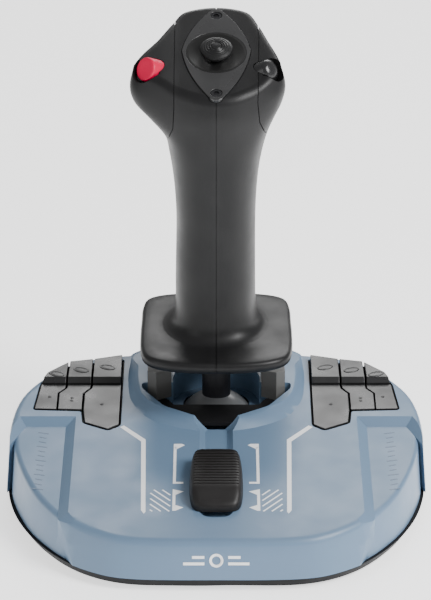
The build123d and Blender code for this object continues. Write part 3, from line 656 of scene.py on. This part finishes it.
def buildGrip():
    g = gripShape
    body = gripBody("gripBody")
    cut(body, gripHollow())
    cut(body, turned("shaftBore", ((g["shaftBore"], 55), (g["shaftBore"], g["boreTop"])),
                     matrix=Matrix.Translation((0, g["middle"] * mm, 0)), around=64))
    half, front, back, low, high = g["triggerSlot"]
    cut(body, prism("triggerSlot", ((-half, front), (half, front), (half, back), (-half, back)), low, high))
    cut(body, prism("plateSeat", lozenge(0.3), -g["recess"], 12, matrix=headPlace))
    cut(body, bore("hatBore", headPlace @ Matrix.Translation((0, g["hatMiddle"] * mm, 0)),
                   ((g["hatBore"], -14), (g["hatBore"], 3))))
    for seat in buttonSeats.values():
        place = frameMatrix(seat["origin"], Vector(seat["axis"]).cross(Vector((0, 0, 1))), seat["axis"])
        cut(body, bore("buttonBore", place, ((seat["bore"], -14.8), (seat["bore"], -5),
                                             (seat["seat"], -5), (seat["seat"], 9))))
    seam = g["seamGap"] / 2
    core = gripBody("grooveFloor", g["grooveDepth"])
    groove = prism("seam", ((-seam, -20), (seam, -20), (seam, 120), (-seam, 120)), 50, 260)
    cut(groove, core, keepCutter=True)
    cut(body, groove)
    turnUp = Matrix(((1, 0, 0, 0), (0, 0, -1, 0), (0, 1, 0, 0), (0, 0, 0, 1)))
    for outline, sign in ((g["leftSeam"], -1), (g["rightSeam"], 1)):
        wider = [(x - sign * g["moduleGap"] if abs(x) < 60 else x, z - g["moduleGap"]) for x, z in outline]
        narrower = [(x + sign * 0.06 if abs(x) < 60 else x, z + 0.06) for x, z in outline]
        groove = prism("parting", wider, -110, 10, matrix=turnUp)
        cut(groove, prism("block", narrower, -120, 20, matrix=turnUp))
        cut(groove, core, keepCutter=True)
        cut(body, groove)
    bpy.data.objects.remove(core)
    pieces = {}
    for side, outline in (("left", g["leftSeam"]), ("right", g["rightSeam"])):
        sign = -1 if side == "left" else 1
        block = prism("block", outline, -110, 10, matrix=turnUp)
        module = copyPiece(body, "head_module_" + side + "_skin")
        cut(module, block, "INTERSECT", keepCutter=True)
        shell = copyPiece(body, "grip_" + side + "_skin")
        cut(shell, block)
        keep = prism("keep", ((0, -20), (sign * 60, -20), (sign * 60, 120), (0, 120)), 50, 260)
        cut(shell, keep, "INTERSECT")
        pieces["grip_" + side + "_shell"] = shell
        pieces["head_module_" + side] = module
    bpy.data.objects.remove(body)
    for node, piece in pieces.items():
        refinish(piece, finish["gripCharcoal"], 38)
        softenEdges(piece, 0.3, 2, 50)
        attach(piece, "grip")
        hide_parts(node)
    print("grip, hand rest and head modules built")


buildGrip()


baseShape = {
    # right half of the skirt at the tray and of the rim that its walls aim at
    "skirt": ((0, -94.1), (22, -94.1), (41, -92.6), (54, -87.8), (69, -76.4), (80, -62), (90.5, -42),
              (98.8, -14), (101.5, 10), (99, 38), (91.5, 58), (78, 75.5), (58, 86.3), (30, 90.4), (0, 90.8)),
    "rim": ((0, -86.2), (21, -86.2), (38, -84.6), (50, -80.4), (63.5, -70.5), (75, -57), (86, -38.5),
            (95, -13), (98.6, 10), (96.4, 37.4), (89, 56.5), (76, 73.3), (57, 83.2), (30, 86.8), (0, 87.1)),
    "skirtBottom": 6.0, "rimHeight": 46.0, "deckMiddle": 33.45, "deckRise": 0.105, "edge": 3.2,
    "collarFoot": ((0, 8.1), (17.5, 11.5), (32.7, 20.7), (41, 36), (43.4, 52), (43.4, 72), (40, 92),
                   (24, 104), (0, 106)),
    "collarCrest": ((0, 13.6), (9, 14.1), (20.6, 20), (29, 27.2), (36, 37), (38.8, 52), (38.8, 70), (36, 84),
                    (0, 96)),
    "collarHeight": 4.0,
    "wing": ((73, 18), (73, -66.5), (65.5, -82), (125, -82), (125, -4), (101, -4), (92, 18)),
    "wingDepth": 3.2, "wingInset": 2.4, "wingSpread": 4.9,
    "lip": ((0, 15.4), (9, 15.4), (25.5, 25.8), (36.7, 43.5), (36.7, 49), (0, 49)),
    "tub": ((0, 13.4), (9.6, 13.4), (27, 24.2), (38.9, 42.8), (38.9, 76), (0, 76)),
    "wellFloor": 30.0, "wellRadius": 21.5, "socketRadius": 20.9, "socket": (0, 52, 17), "tubWall": 2.2,
    "groove": (5.3, -67.5, 16, 3.0), "grooveSpread": 2.7, "slot": (2.2, -58.6, -20.4),
    "keyOpening": ((46.8, 14), (52.2, 9.5), (64.2, 16.4), (65.3, 28.3), (88.9, 29.5), (86.7, 54), (84, 61.8),
                   (73.4, 73.1), (61.3, 75.7), (46.8, 80)),
    # the key gap width leaves room round each key opening for a black liner that paints the shade in the gap
    "wall": 2.5, "soften": 0.7, "keyFrame": 0.75, "glandHole": (5.05, 14.0),
}
deckTilt = atan(baseShape["deckRise"])
deckPlace = frameMatrix((0, 0, baseShape["deckMiddle"]), (1, 0, 0), (0, -sin(deckTilt), cos(deckTilt)))


def deckHeight(y):
    return baseShape["deckMiddle"] + baseShape["deckRise"] * y


def onDeck(outline):
    return [(x, y / cos(deckTilt)) for x, y in outline]


def fullRing(half):
    # clockwise ring from the front middle, by the left side
    return [(-x, y) for x, y in half] + [(x, y) for x, y in list(half)[-2:0:-1]]


def baseBody(name, inset=0.0, drop=0.0, edge=0.0, bottom=None):
    # tapered body under the deck plane, its deck edge rounded
    b = baseShape
    skirt = pulledIn(closedSmooth(fullRing(b["skirt"]), 4), inset)
    rim = pulledIn(closedSmooth(fullRing(b["rim"]), 4), inset)
    low = b["skirtBottom"]
    rise = b["rimHeight"] - low
    start = 0.0 if bottom is None else (bottom - low) / rise
    rows = [[], []] + ([[] for _ in range(6)] if edge else [[]])
    for (sx, sy), (rx, ry) in zip(skirt, rim):
        t = (b["deckMiddle"] - drop - low + b["deckRise"] * sy) / (rise - b["deckRise"] * (ry - sy))
        corner = Vector((sx + (rx - sx) * t, sy + (ry - sy) * t, low + rise * t))
        foot = Vector((sx + (rx - sx) * start, sy + (ry - sy) * start, low + rise * start))
        wallStart = corner + (foot - corner).normalized() * edge
        rows[0].append(tuple(foot))
        rows[1].append(tuple(foot + (wallStart - foot) * 0.6))
        inward = Vector((-corner.x, -corner.y, 0)).normalized()
        inward.z = b["deckRise"] * inward.y
        deckStart = corner + inward * edge
        if edge:
            for s in range(6):
                u = s / 5
                point = wallStart * (1 - u) ** 2 + corner * 2 * u * (1 - u) + deckStart * u * u
                rows[2 + s].append(tuple(point))
        else:
            rows[2].append(tuple(corner))
    count = len(rows[0])
    low, high = endCaps(count, len(rows))
    faces = [low] + ringWalls(count, len(rows)) + [high]
    return meshPiece(name, [p for row in rows for p in row], faces, None, 40)


def spreadPrism(name, outline, levels, matrix):
    # prism of a plan outline at several (height, spread) levels, spread along its normals
    ring = list(outline)
    turn = sum(ring[i - 1][0] * ring[i][1] - ring[i][0] * ring[i - 1][1] for i in range(len(ring)))
    if turn > 0:
        ring.reverse()
    count = len(ring)
    rows = []
    for height, spread in levels:
        row = []
        for i, (x, y) in enumerate(ring):
            before, after = Vector(ring[i - 1]), Vector(ring[(i + 1) % count])
            here = Vector((x, y))
            a, c = (here - before).normalized(), (after - here).normalized()
            factor = spread / (1 + a.dot(c))
            row.append((x - (a.y + c.y) * factor, y + (a.x + c.x) * factor, height))
        rows.append(row)
    faces = endCaps(count, len(rows)) + ringWalls(count, len(rows))
    return placed(meshPiece(name, [p for row in rows for p in row], faces, None), matrix)


def cornersOf(half):
    # whole outline without the points on the middle line
    return [p for p in fullRing(half) if p[0]]


def mirrored(outline, side):
    return [(side * x, y) for x, y in outline]


def rounded(outline, radius, steps=4):
    # polygon with each corner replaced by a small arc
    out = []
    count = len(outline)
    for i in range(count):
        before, here, after = (Vector(outline[j]) for j in (i - 1, i, (i + 1) % count))
        reach = min(radius, (before - here).length * 0.45, (after - here).length * 0.45)
        start, end = here + (before - here).normalized() * reach, here + (after - here).normalized() * reach
        for s in range(steps + 1):
            u = s / steps
            out.append(tuple(start * (1 - u) ** 2 + here * 2 * u * (1 - u) + end * u * u))
    return out


def collarBody():
    b = baseShape
    foot = closedSmooth(fullRing(b["collarFoot"]), 6)
    crest = closedSmooth(fullRing(b["collarCrest"]), 6)
    high = b["collarHeight"]
    # height over the deck, share of the way from foot to crest
    steps = ((-4, -0.6), (0, 0), (high * 0.3, 0.26), (high * 0.62, 0.56), (high * 0.86, 0.82),
             (high * 0.97, 1.0), (high, 1.25))
    rows = []
    for _, share in steps:
        rows.append([(fx + (cx - fx) * share, fy + (cy - fy) * share)
                     for (fx, fy), (cx, cy) in zip(foot, crest)])
    count = len(foot)
    points = [(x, y, deckHeight(y) + steps[r][0]) for r, row in enumerate(rows) for x, y in row]
    faces = endCaps(count, len(rows)) + ringWalls(count, len(rows))
    return meshPiece("collar", points, faces, None, 40)


def buildBaseShell():
    b = baseShape
    shell = baseBody("top_shell_skin", 0, 0, b["edge"])
    for side in (1, -1):
        wing = onDeck(mirrored(b["wing"], side))
        cut(shell, spreadPrism("wingCut", wing, ((-50, 0), (-b["wingDepth"], 0),
                                                 (-b["wingDepth"] + 4.2, b["wingSpread"] * 1.31)), deckPlace))
    cut(shell, baseBody("wingFloor", b["wingInset"], b["wingDepth"], b["edge"] * 0.8), "UNION")
    collar = collarBody()
    cut(collar, baseBody("collarReach", 0.05, -b["collarHeight"] - 0.01, b["edge"] * 0.6), "INTERSECT")
    cut(shell, collar, "UNION")
    hollow = baseBody("hollow", b["wingInset"] + b["wall"], b["wingDepth"] + b["wall"] + 0.3, 0, bottom=2)
    cut(shell, hollow)
    tubBlock = prism("tub", rounded(cornersOf(b["tub"]), 5), b["wellFloor"] - b["tubWall"], 36)
    cut(tubBlock, baseBody("tubReach", b["wingInset"], b["wingDepth"], 0), "INTERSECT")
    cut(shell, tubBlock, "UNION")
    well = rounded(cornersOf(b["lip"]), 2.5)
    cut(shell, prism("well", well, b["wellFloor"], 60))
    place = Matrix.Translation((0, b["socket"][1] * mm, 0))
    cut(shell, turned("wellRound", ((b["wellRadius"], b["wellFloor"]), (b["wellRadius"], 60)), matrix=place,
                      around=96))
    ball = [(b["socketRadius"] * sin(a), b["socket"][2] + b["socketRadius"] * -cos(a))
            for a in (pi * (i + 1) / 26 for i in range(25))]
    cut(shell, turned("socket", ball, matrix=place, around=96))
    half, front, back, depth = b["groove"]
    channel = rounded(onDeck(((-half, front), (half, front), (half, back), (-half, back))), 4.2)
    cut(shell, spreadPrism("groove", channel, ((-depth, 0), (5, b["grooveSpread"] * 8 / 3)), deckPlace))
    half, front, back = b["slot"]
    cut(shell, prism("slot", rounded(onDeck(((-half, front), (half, front), (half, back), (-half, back))), 2),
                     -12, 4, matrix=deckPlace))
    for side in (1, -1):
        opening = rounded(onDeck(mirrored(b["keyOpening"], side)), 1.6)
        # each opening is widened by the key gap width to hold the black liner that paints the gap shade
        cut(shell, spreadPrism("keyOpening", opening, ((-14, b["keyFrame"]), (8, b["keyFrame"])), deckPlace))
    radius, height = b["glandHole"]
    back = frameMatrix((0, 0, height), (1, 0, 0), (0, 1, 0))
    cut(shell, turned("glandHole", ((radius, 70), (radius, 110)), matrix=back, around=48))
    flatten = shell.modifiers.new("triangles", "TRIANGULATE")  # the edge radii need plain triangles
    flatten.quad_method = "BEAUTY"
    applyModifiers(shell)
    refinish(shell, finish["baseBlue"], 30)
    softenEdges(shell, b["soften"], 3, 28)
    evenNormals(shell)
    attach(shell, "base")
    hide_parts("top_shell")
    print("base shell built")


def buildKeyFrames():
    # thin black liner in each key opening: painted shade standing in for the shadow in the gap around the
    # keys
    b = baseShape
    for side, name in ((1, "right"), (-1, "left")):
        opening = rounded(onDeck(mirrored(b["keyOpening"], side)), 1.6)
        shadeLiner = spreadPrism("key_frame_" + name, opening, ((-5.5, b["keyFrame"] - 0.02),
                                                           (-0.6, b["keyFrame"] - 0.02)), deckPlace)
        cut(shadeLiner, spreadPrism("keySpace", opening, ((-8, 0.02), (4, 0.02)), deckPlace))
        # the black finish on the liner is painted shade for the key gaps
        shadeLiner.data.materials.append(finish["baseBlack"])
        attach(shadeLiner, "base")
    print("key frames built")


buildBaseShell()
buildKeyFrames()

printing = {
    "thickness": 0.05, "guideWidth": 2.1, "bracketWidth": 1.35, "hatchWidth": 0.75,
    "guide": ((46.5, 12.3), (34.9, -0.6), (33.6, -66.6)),
    "bracketX": 19.6, "bracketTop": -3.8, "bracketEnd": -40.5, "lowTop": -45.5, "lowEnd": -64.5,
    "hatchFrom": 21.3, "hatchTo": 30.6, "hatchLow": -65, "hatchHigh": -46,
}


def flatMark(points, side):
    # thin printed patch lying on the deck; the outline is convex
    outline = onDeck(mirrored(points, side))
    return prism("mark", outline, -0.04, printing["thickness"], finish["printWhite"], matrix=deckPlace)


def stroke(a, b, width):
    # straight bar from a to b
    a, b = Vector(a), Vector(b)
    along = (b - a).normalized()
    off = Vector((-along.y, along.x)) * width / 2
    return [tuple(a - off), tuple(b - off), tuple(b + off), tuple(a + off)]


def joined(pieces, name):
    # one object from several, without operators
    bm = bmesh.new()
    for piece in pieces:
        bm.from_mesh(piece.data)
        bpy.data.objects.remove(piece)
    mesh = bpy.data.meshes.new(name)
    bm.to_mesh(mesh)
    bm.free()
    obj = bpy.data.objects.new(name, mesh)
    bpy.context.scene.collection.objects.link(obj)
    return obj


def printMarks():
    k = printing
    marks = []
    for side in (1, -1):
        outer, bend, tip = k["guide"]
        w = k["guideWidth"] / 2
        marks.append(flatMark((outer, (bend[0] + w, bend[1] - 0.9), (bend[0] - w, bend[1] + 0.9),
                               (outer[0] - 1.9, outer[1] + 1.5)), side))
        marks.append(flatMark(((bend[0] + w, bend[1] - 0.9), (tip[0] + w, tip[1] + 2.6),
                               (tip[0] - 0.3, tip[1] - 0.4), (tip[0] - w, tip[1] + 1.2),
                               (bend[0] - w, bend[1] + 0.9)), side))
        x, w = k["bracketX"], k["bracketWidth"] / 2
        top, end, lowTop, lowEnd = k["bracketTop"], k["bracketEnd"], k["lowTop"], k["lowEnd"]
        marks.append(flatMark(stroke((x, top - 3), (x, end), k["bracketWidth"]), side))
        marks.append(flatMark(((x + w, top), (x + w, top - 3), (x - w, top - 4.8),
                               (x - 4.6, top - 1.2), (x - 3.2, top)), side))
        marks.append(flatMark(stroke((x - w, end + 0.8), (x - 4.2, end + 0.8), 1.6), side))
        marks.append(flatMark(((x + w, lowTop), (x + w, lowTop - 4.6), (x - w, lowTop - 5),
                               (x - 4.4, lowTop - 2)), side))
        marks.append(flatMark(stroke((x, lowTop - 4.6), (x, lowEnd + 4), k["bracketWidth"]), side))
        marks.append(flatMark(((x + w, lowEnd + 4), (x + w, lowEnd), (x - w, lowEnd),
                               (x - 4.4, lowEnd + 2.8), (x - w, lowEnd + 5)), side))
        low, high, near, far = k["hatchLow"], k["hatchHigh"], k["hatchFrom"], k["hatchTo"]
        for n in range(6):
            # slanted bars clipped to the hatched patch
            start = -(far - near) * 1.1 + n * 4.9
            a, b = Vector((near, low + start)), Vector((far, low + start + (far - near) * 1.25))
            if a.y < low:
                a = a + (b - a) * ((low - a.y) / (b.y - a.y))
            if b.y > high:
                b = a + (b - a) * ((high - a.y) / (b.y - a.y))
            if b.y > low + 0.5 and a.y < high - 0.5:
                marks.append(flatMark(stroke(a, b, k["hatchWidth"]), side))
    sheet = joined(marks, "deck_printing")
    sheet.data.materials.append(finish["printWhite"])
    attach(sheet, "base")
    print("printed marks laid")


printMarks()


def softenParts(names, width, segments=2):
    # moulded radii on carried-over parts
    for name in names:
        node = frame["nodes"][name]
        weld = node.modifiers.new("weld", "WELD")
        weld.merge_threshold = 0.00001
        softenEdges(node, width, segments, 35)
        evenNormals(node)


buttonShape = {
    # radius and height along the button's own axis
    "left": {"body": "red_button", "node": "thumb_button_left", "slot": "button_red",
             "profile": ((5.75, -12), (5.75, -2.2), (5.6, -1.75), (5.3, -1.45), (4.9, -1.35), (3.0, -1.5),
                         (1.0, -1.6))},
    "right": {"body": "black_button", "node": "thumb_button_right", "slot": "button_black",
              "profile": ((5.35, -12), (5.35, -4.6), (5.0, -3.7), (4.2, -2.9), (3.0, -2.35), (1.6, -2.08),
                          (0.5, -2.0))},
}


def buildButtons():
    for side, look in buttonShape.items():
        seat = buttonSeats[side]
        place = frameMatrix(seat["origin"], Vector(seat["axis"]).cross(Vector((0, 0, 1))), seat["axis"])
        piece = turned("thumb_" + side + "_skin", look["profile"], finishOfSlot(look["slot"]), matrix=place,
                       around=64)
        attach(piece, look["body"])
        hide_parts(look["node"])
    print("thumb buttons built")


def openMiddle(ring):
    # a turned piece whose two end discs are joined into a tube wall
    bm = bmesh.new()
    bm.from_mesh(ring.data)
    caps = [f for f in bm.faces if len(f.verts) > 8]
    edges = [list(f.edges) for f in caps]
    bmesh.ops.delete(bm, geom=caps, context="FACES_ONLY")
    bmesh.ops.bridge_loops(bm, edges=[e for row in edges for e in row if e.is_valid])
    bmesh.ops.recalc_face_normals(bm, faces=bm.faces)
    bm.to_mesh(ring.data)
    bm.free()
    for face in ring.data.polygons:
        face.use_smooth = True
    return ring


keyShape = {
    # raised rim and shallow dish of the oval, as shares of its half length and its height
    "ovalProfile": ((1.0, -0.3), (1.0, 0.0), (0.97, 0.35), (0.9, 0.62), (0.84, 0.6), (0.78, 0.3), (0.6, 0.5),
                    (0.35, 0.62), (0.1, 0.66)),
    "oval": (4.2, 2.5, 0.4), "ovalTilt": 24.0, "rearTop": 3.2,
    "dotRadius": 0.85, "frontTop": 0.4, "dotRise": 0.12,
    "rear": {"inner": (54.2, 66.5), "middle": (67.2, 63.8), "outer": (79.2, 59.6)},
    "front": {"inner": ((56, 34),), "middle": ((70.8, 40.4), (70.8, 37.6)), "outer": ((81.8, 41.5),)},
}


def buildKeyDetails():
    k = keyShape
    for side, sign in (("left", -1), ("right", 1)):
        for name, (x, y) in k["rear"].items():
            long, wide, high = k["oval"]
            place = deckPlace @ Matrix.Translation((sign * x * mm, y * mm, k["rearTop"] * mm))
            place = place @ Matrix.Rotation(radians(sign * k["ovalTilt"]), 4, "Z")
            place = place @ Matrix.Diagonal((long, wide, high, 1))
            oval = turned("key_oval_" + side + "_" + name, k["ovalProfile"], finish["keyGrey"], matrix=place,
                          around=56)
            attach(oval, "key_" + side + "_rear_" + name + "_cap")
        for name, spots in k["front"].items():
            for n, (x, y) in enumerate(spots):
                r = k["dotRadius"]
                place = deckPlace @ Matrix.Translation((sign * x * mm, y * mm, k["frontTop"] * mm))
                profile = ((r, -0.1), (r, k["dotRise"] * 0.7), (r * 0.85, k["dotRise"]))
                dot = turned("key_dot_" + side + "_" + name + "_" + str(n), profile, finish["keyMark"],
                             matrix=place, around=28)
                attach(dot, "key_" + side + "_front_" + name + "_cap")
    print("key ovals and dots built")


knobShape = {
    # y along the deck and half width, from the front edge to the back edge
    "outline": ((-66.6, 0), (-66.4, 5.5), (-65.2, 9.4), (-61.5, 11.4), (-54, 12.3), (-45, 12.5), (-36, 12.3),
                (-28, 11.7), (-23, 10.7), (-21.1, 8.6), (-20.6, 5), (-20.5, 0)),
    "rows": ((0.55, 0), (2.4, 0.05), (4.6, 0.2), (6.3, 0.5), (7.3, 0.95), (7.95, 1.6), (8.3, 2.4),
             (8.4, 3.4)),
    "frontFall": 4.2, "fallFrom": -55.5, "fallTo": -66.5,
    "ribs": 13, "ribFrom": -54.2, "ribPitch": 2.45, "ribDepth": 0.75, "ribWidth": 0.62, "ribHalf": 10.6,
}


def knobHeight(y, height):
    # the front band of the knob slopes down to the deck
    k = knobShape
    fall = k["frontFall"] * smoothStep(-k["fallFrom"], -k["fallTo"], -y)
    return height * (1 - fall / k["rows"][-1][0])


def buildKnob():
    k = knobShape
    rowY = [y for y, half in k["outline"]]
    halves = [half for y, half in k["outline"]]
    plan = closedSmooth(halfRing(rowY, halves, halves), 5)
    rows = []
    for height, inset in k["rows"]:
        rows.append([(x, y, knobHeight(y, height)) for x, y in pulledIn(plan, inset)])
    top = k["rows"][-1][0]
    knob = stackMesh("slider_knob_skin", rows, columns=10, smoothAngle=50,
                     capHeight=lambda x, y: knobHeight(y, top))
    placed(knob, deckPlace)
    for n in range(k["ribs"]):
        y = k["ribFrom"] + k["ribPitch"] * n
        low = top - k["ribDepth"]
        wide = k["ribWidth"]
        groove = [(y - wide * 0.45, low), (y + wide * 0.45, low), (y + wide, top + 2), (y - wide, top + 2)]
        points = [(side * k["ribHalf"], gy, gz) for side in (-1, 1) for gy, gz in groove]
        faces = [(0, 1, 2, 3), (4, 5, 6, 7), (0, 1, 5, 4), (1, 2, 6, 5), (2, 3, 7, 6), (3, 0, 4, 7)]
        cut(knob, placed(meshPiece("rib", points, faces, None), deckPlace))
    refinish(knob, finish["sliderBlack"], 40)
    softenEdges(knob, 0.12, 2, 40)
    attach(knob, "slider")
    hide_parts("slider_knob")
    print("slider knob built")


buildButtons()
buildKeyDetails()
buildKnob()
softenParts([n for n in frame["nodes"] if n.startswith("key_left") or n.startswith("key_right")], 0.35)
softenParts(["top_plate"], 0.25)
softenParts(["well_front_cover", "well_cheek_left", "well_cheek_right"], 0.3)

frontMark = {"half": 15.0, "low": 12.0, "high": 18.0, "bar": 1.3, "ring": 3.2, "thick": 0.22}
wingMark = {"x": 83.5, "from": -40.0, "to": 12.0, "count": 13, "long": 3.4, "wide": 0.7}


def frontFaceY(z):
    # the front of the skirt leans back towards the rim
    b = baseShape
    lean = (b["rim"][0][1] - b["skirt"][0][1]) / (b["rimHeight"] - b["skirtBottom"])
    return b["skirt"][0][1] + lean * (z - b["skirtBottom"])


def buildPlainEmblem():
    # a plain bar, ring, bar device printed on the middle of the skirt
    f = frontMark
    middle = (f["low"] + f["high"]) / 2
    lean = atan((frontFaceY(20) - frontFaceY(10)) / 10)
    place = frameMatrix((0, frontFaceY(middle), middle), (1, 0, 0), (0, -cos(lean), sin(lean)))
    pieces = []
    for side in (1, -1):
        for level in (-1, 1):
            a, b = side * (f["ring"] + 2.2), side * (f["half"] - (4 if level > 0 else 0))
            low, high = sorted((a, b))
            y = level * 1.5
            pieces.append(prism("bar", ((low, y - f["bar"] / 2), (high, y - f["bar"] / 2),
                                        (high, y + f["bar"] / 2), (low, y + f["bar"] / 2)),
                                -0.3, f["thick"], finish["printWhite"], matrix=place))
    r = f["ring"]
    ring = turned("ring", ((r - 1.2, -0.3), (r, -0.3), (r, f["thick"]), (r - 1.2, f["thick"])),
                  finish["printWhite"], matrix=place)
    pieces.append(openMiddle(ring))
    emblem = joined(pieces, "front_emblem")
    emblem.data.materials.append(finish["printWhite"])
    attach(emblem, "base")


def buildWingTicks():
    # a ladder of fine slanted ticks on each side panel
    w = wingMark
    pieces = []
    drop = baseShape["wingDepth"]
    for side in (1, -1):
        for n in range(w["count"]):
            y = w["from"] + (w["to"] - w["from"]) * n / (w["count"] - 1)
            size = w["long"] * (1 if n % 3 else 1.5)
            bar = stroke((w["x"] - size / 2, y - 0.6), (w["x"] + size / 2, y + 0.6), w["wide"])
            outline = onDeck(mirrored(bar, side))
            pieces.append(prism("tick", outline, -drop - 0.1, -drop + 0.07, finish["wingPrint"],
                                matrix=deckPlace))
    ticks = joined(pieces, "wing_ticks")
    ticks.data.materials.append(finish["wingPrint"])
    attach(ticks, "base")
    print("emblem and wing ticks built")


buildPlainEmblem()
buildWingTicks()
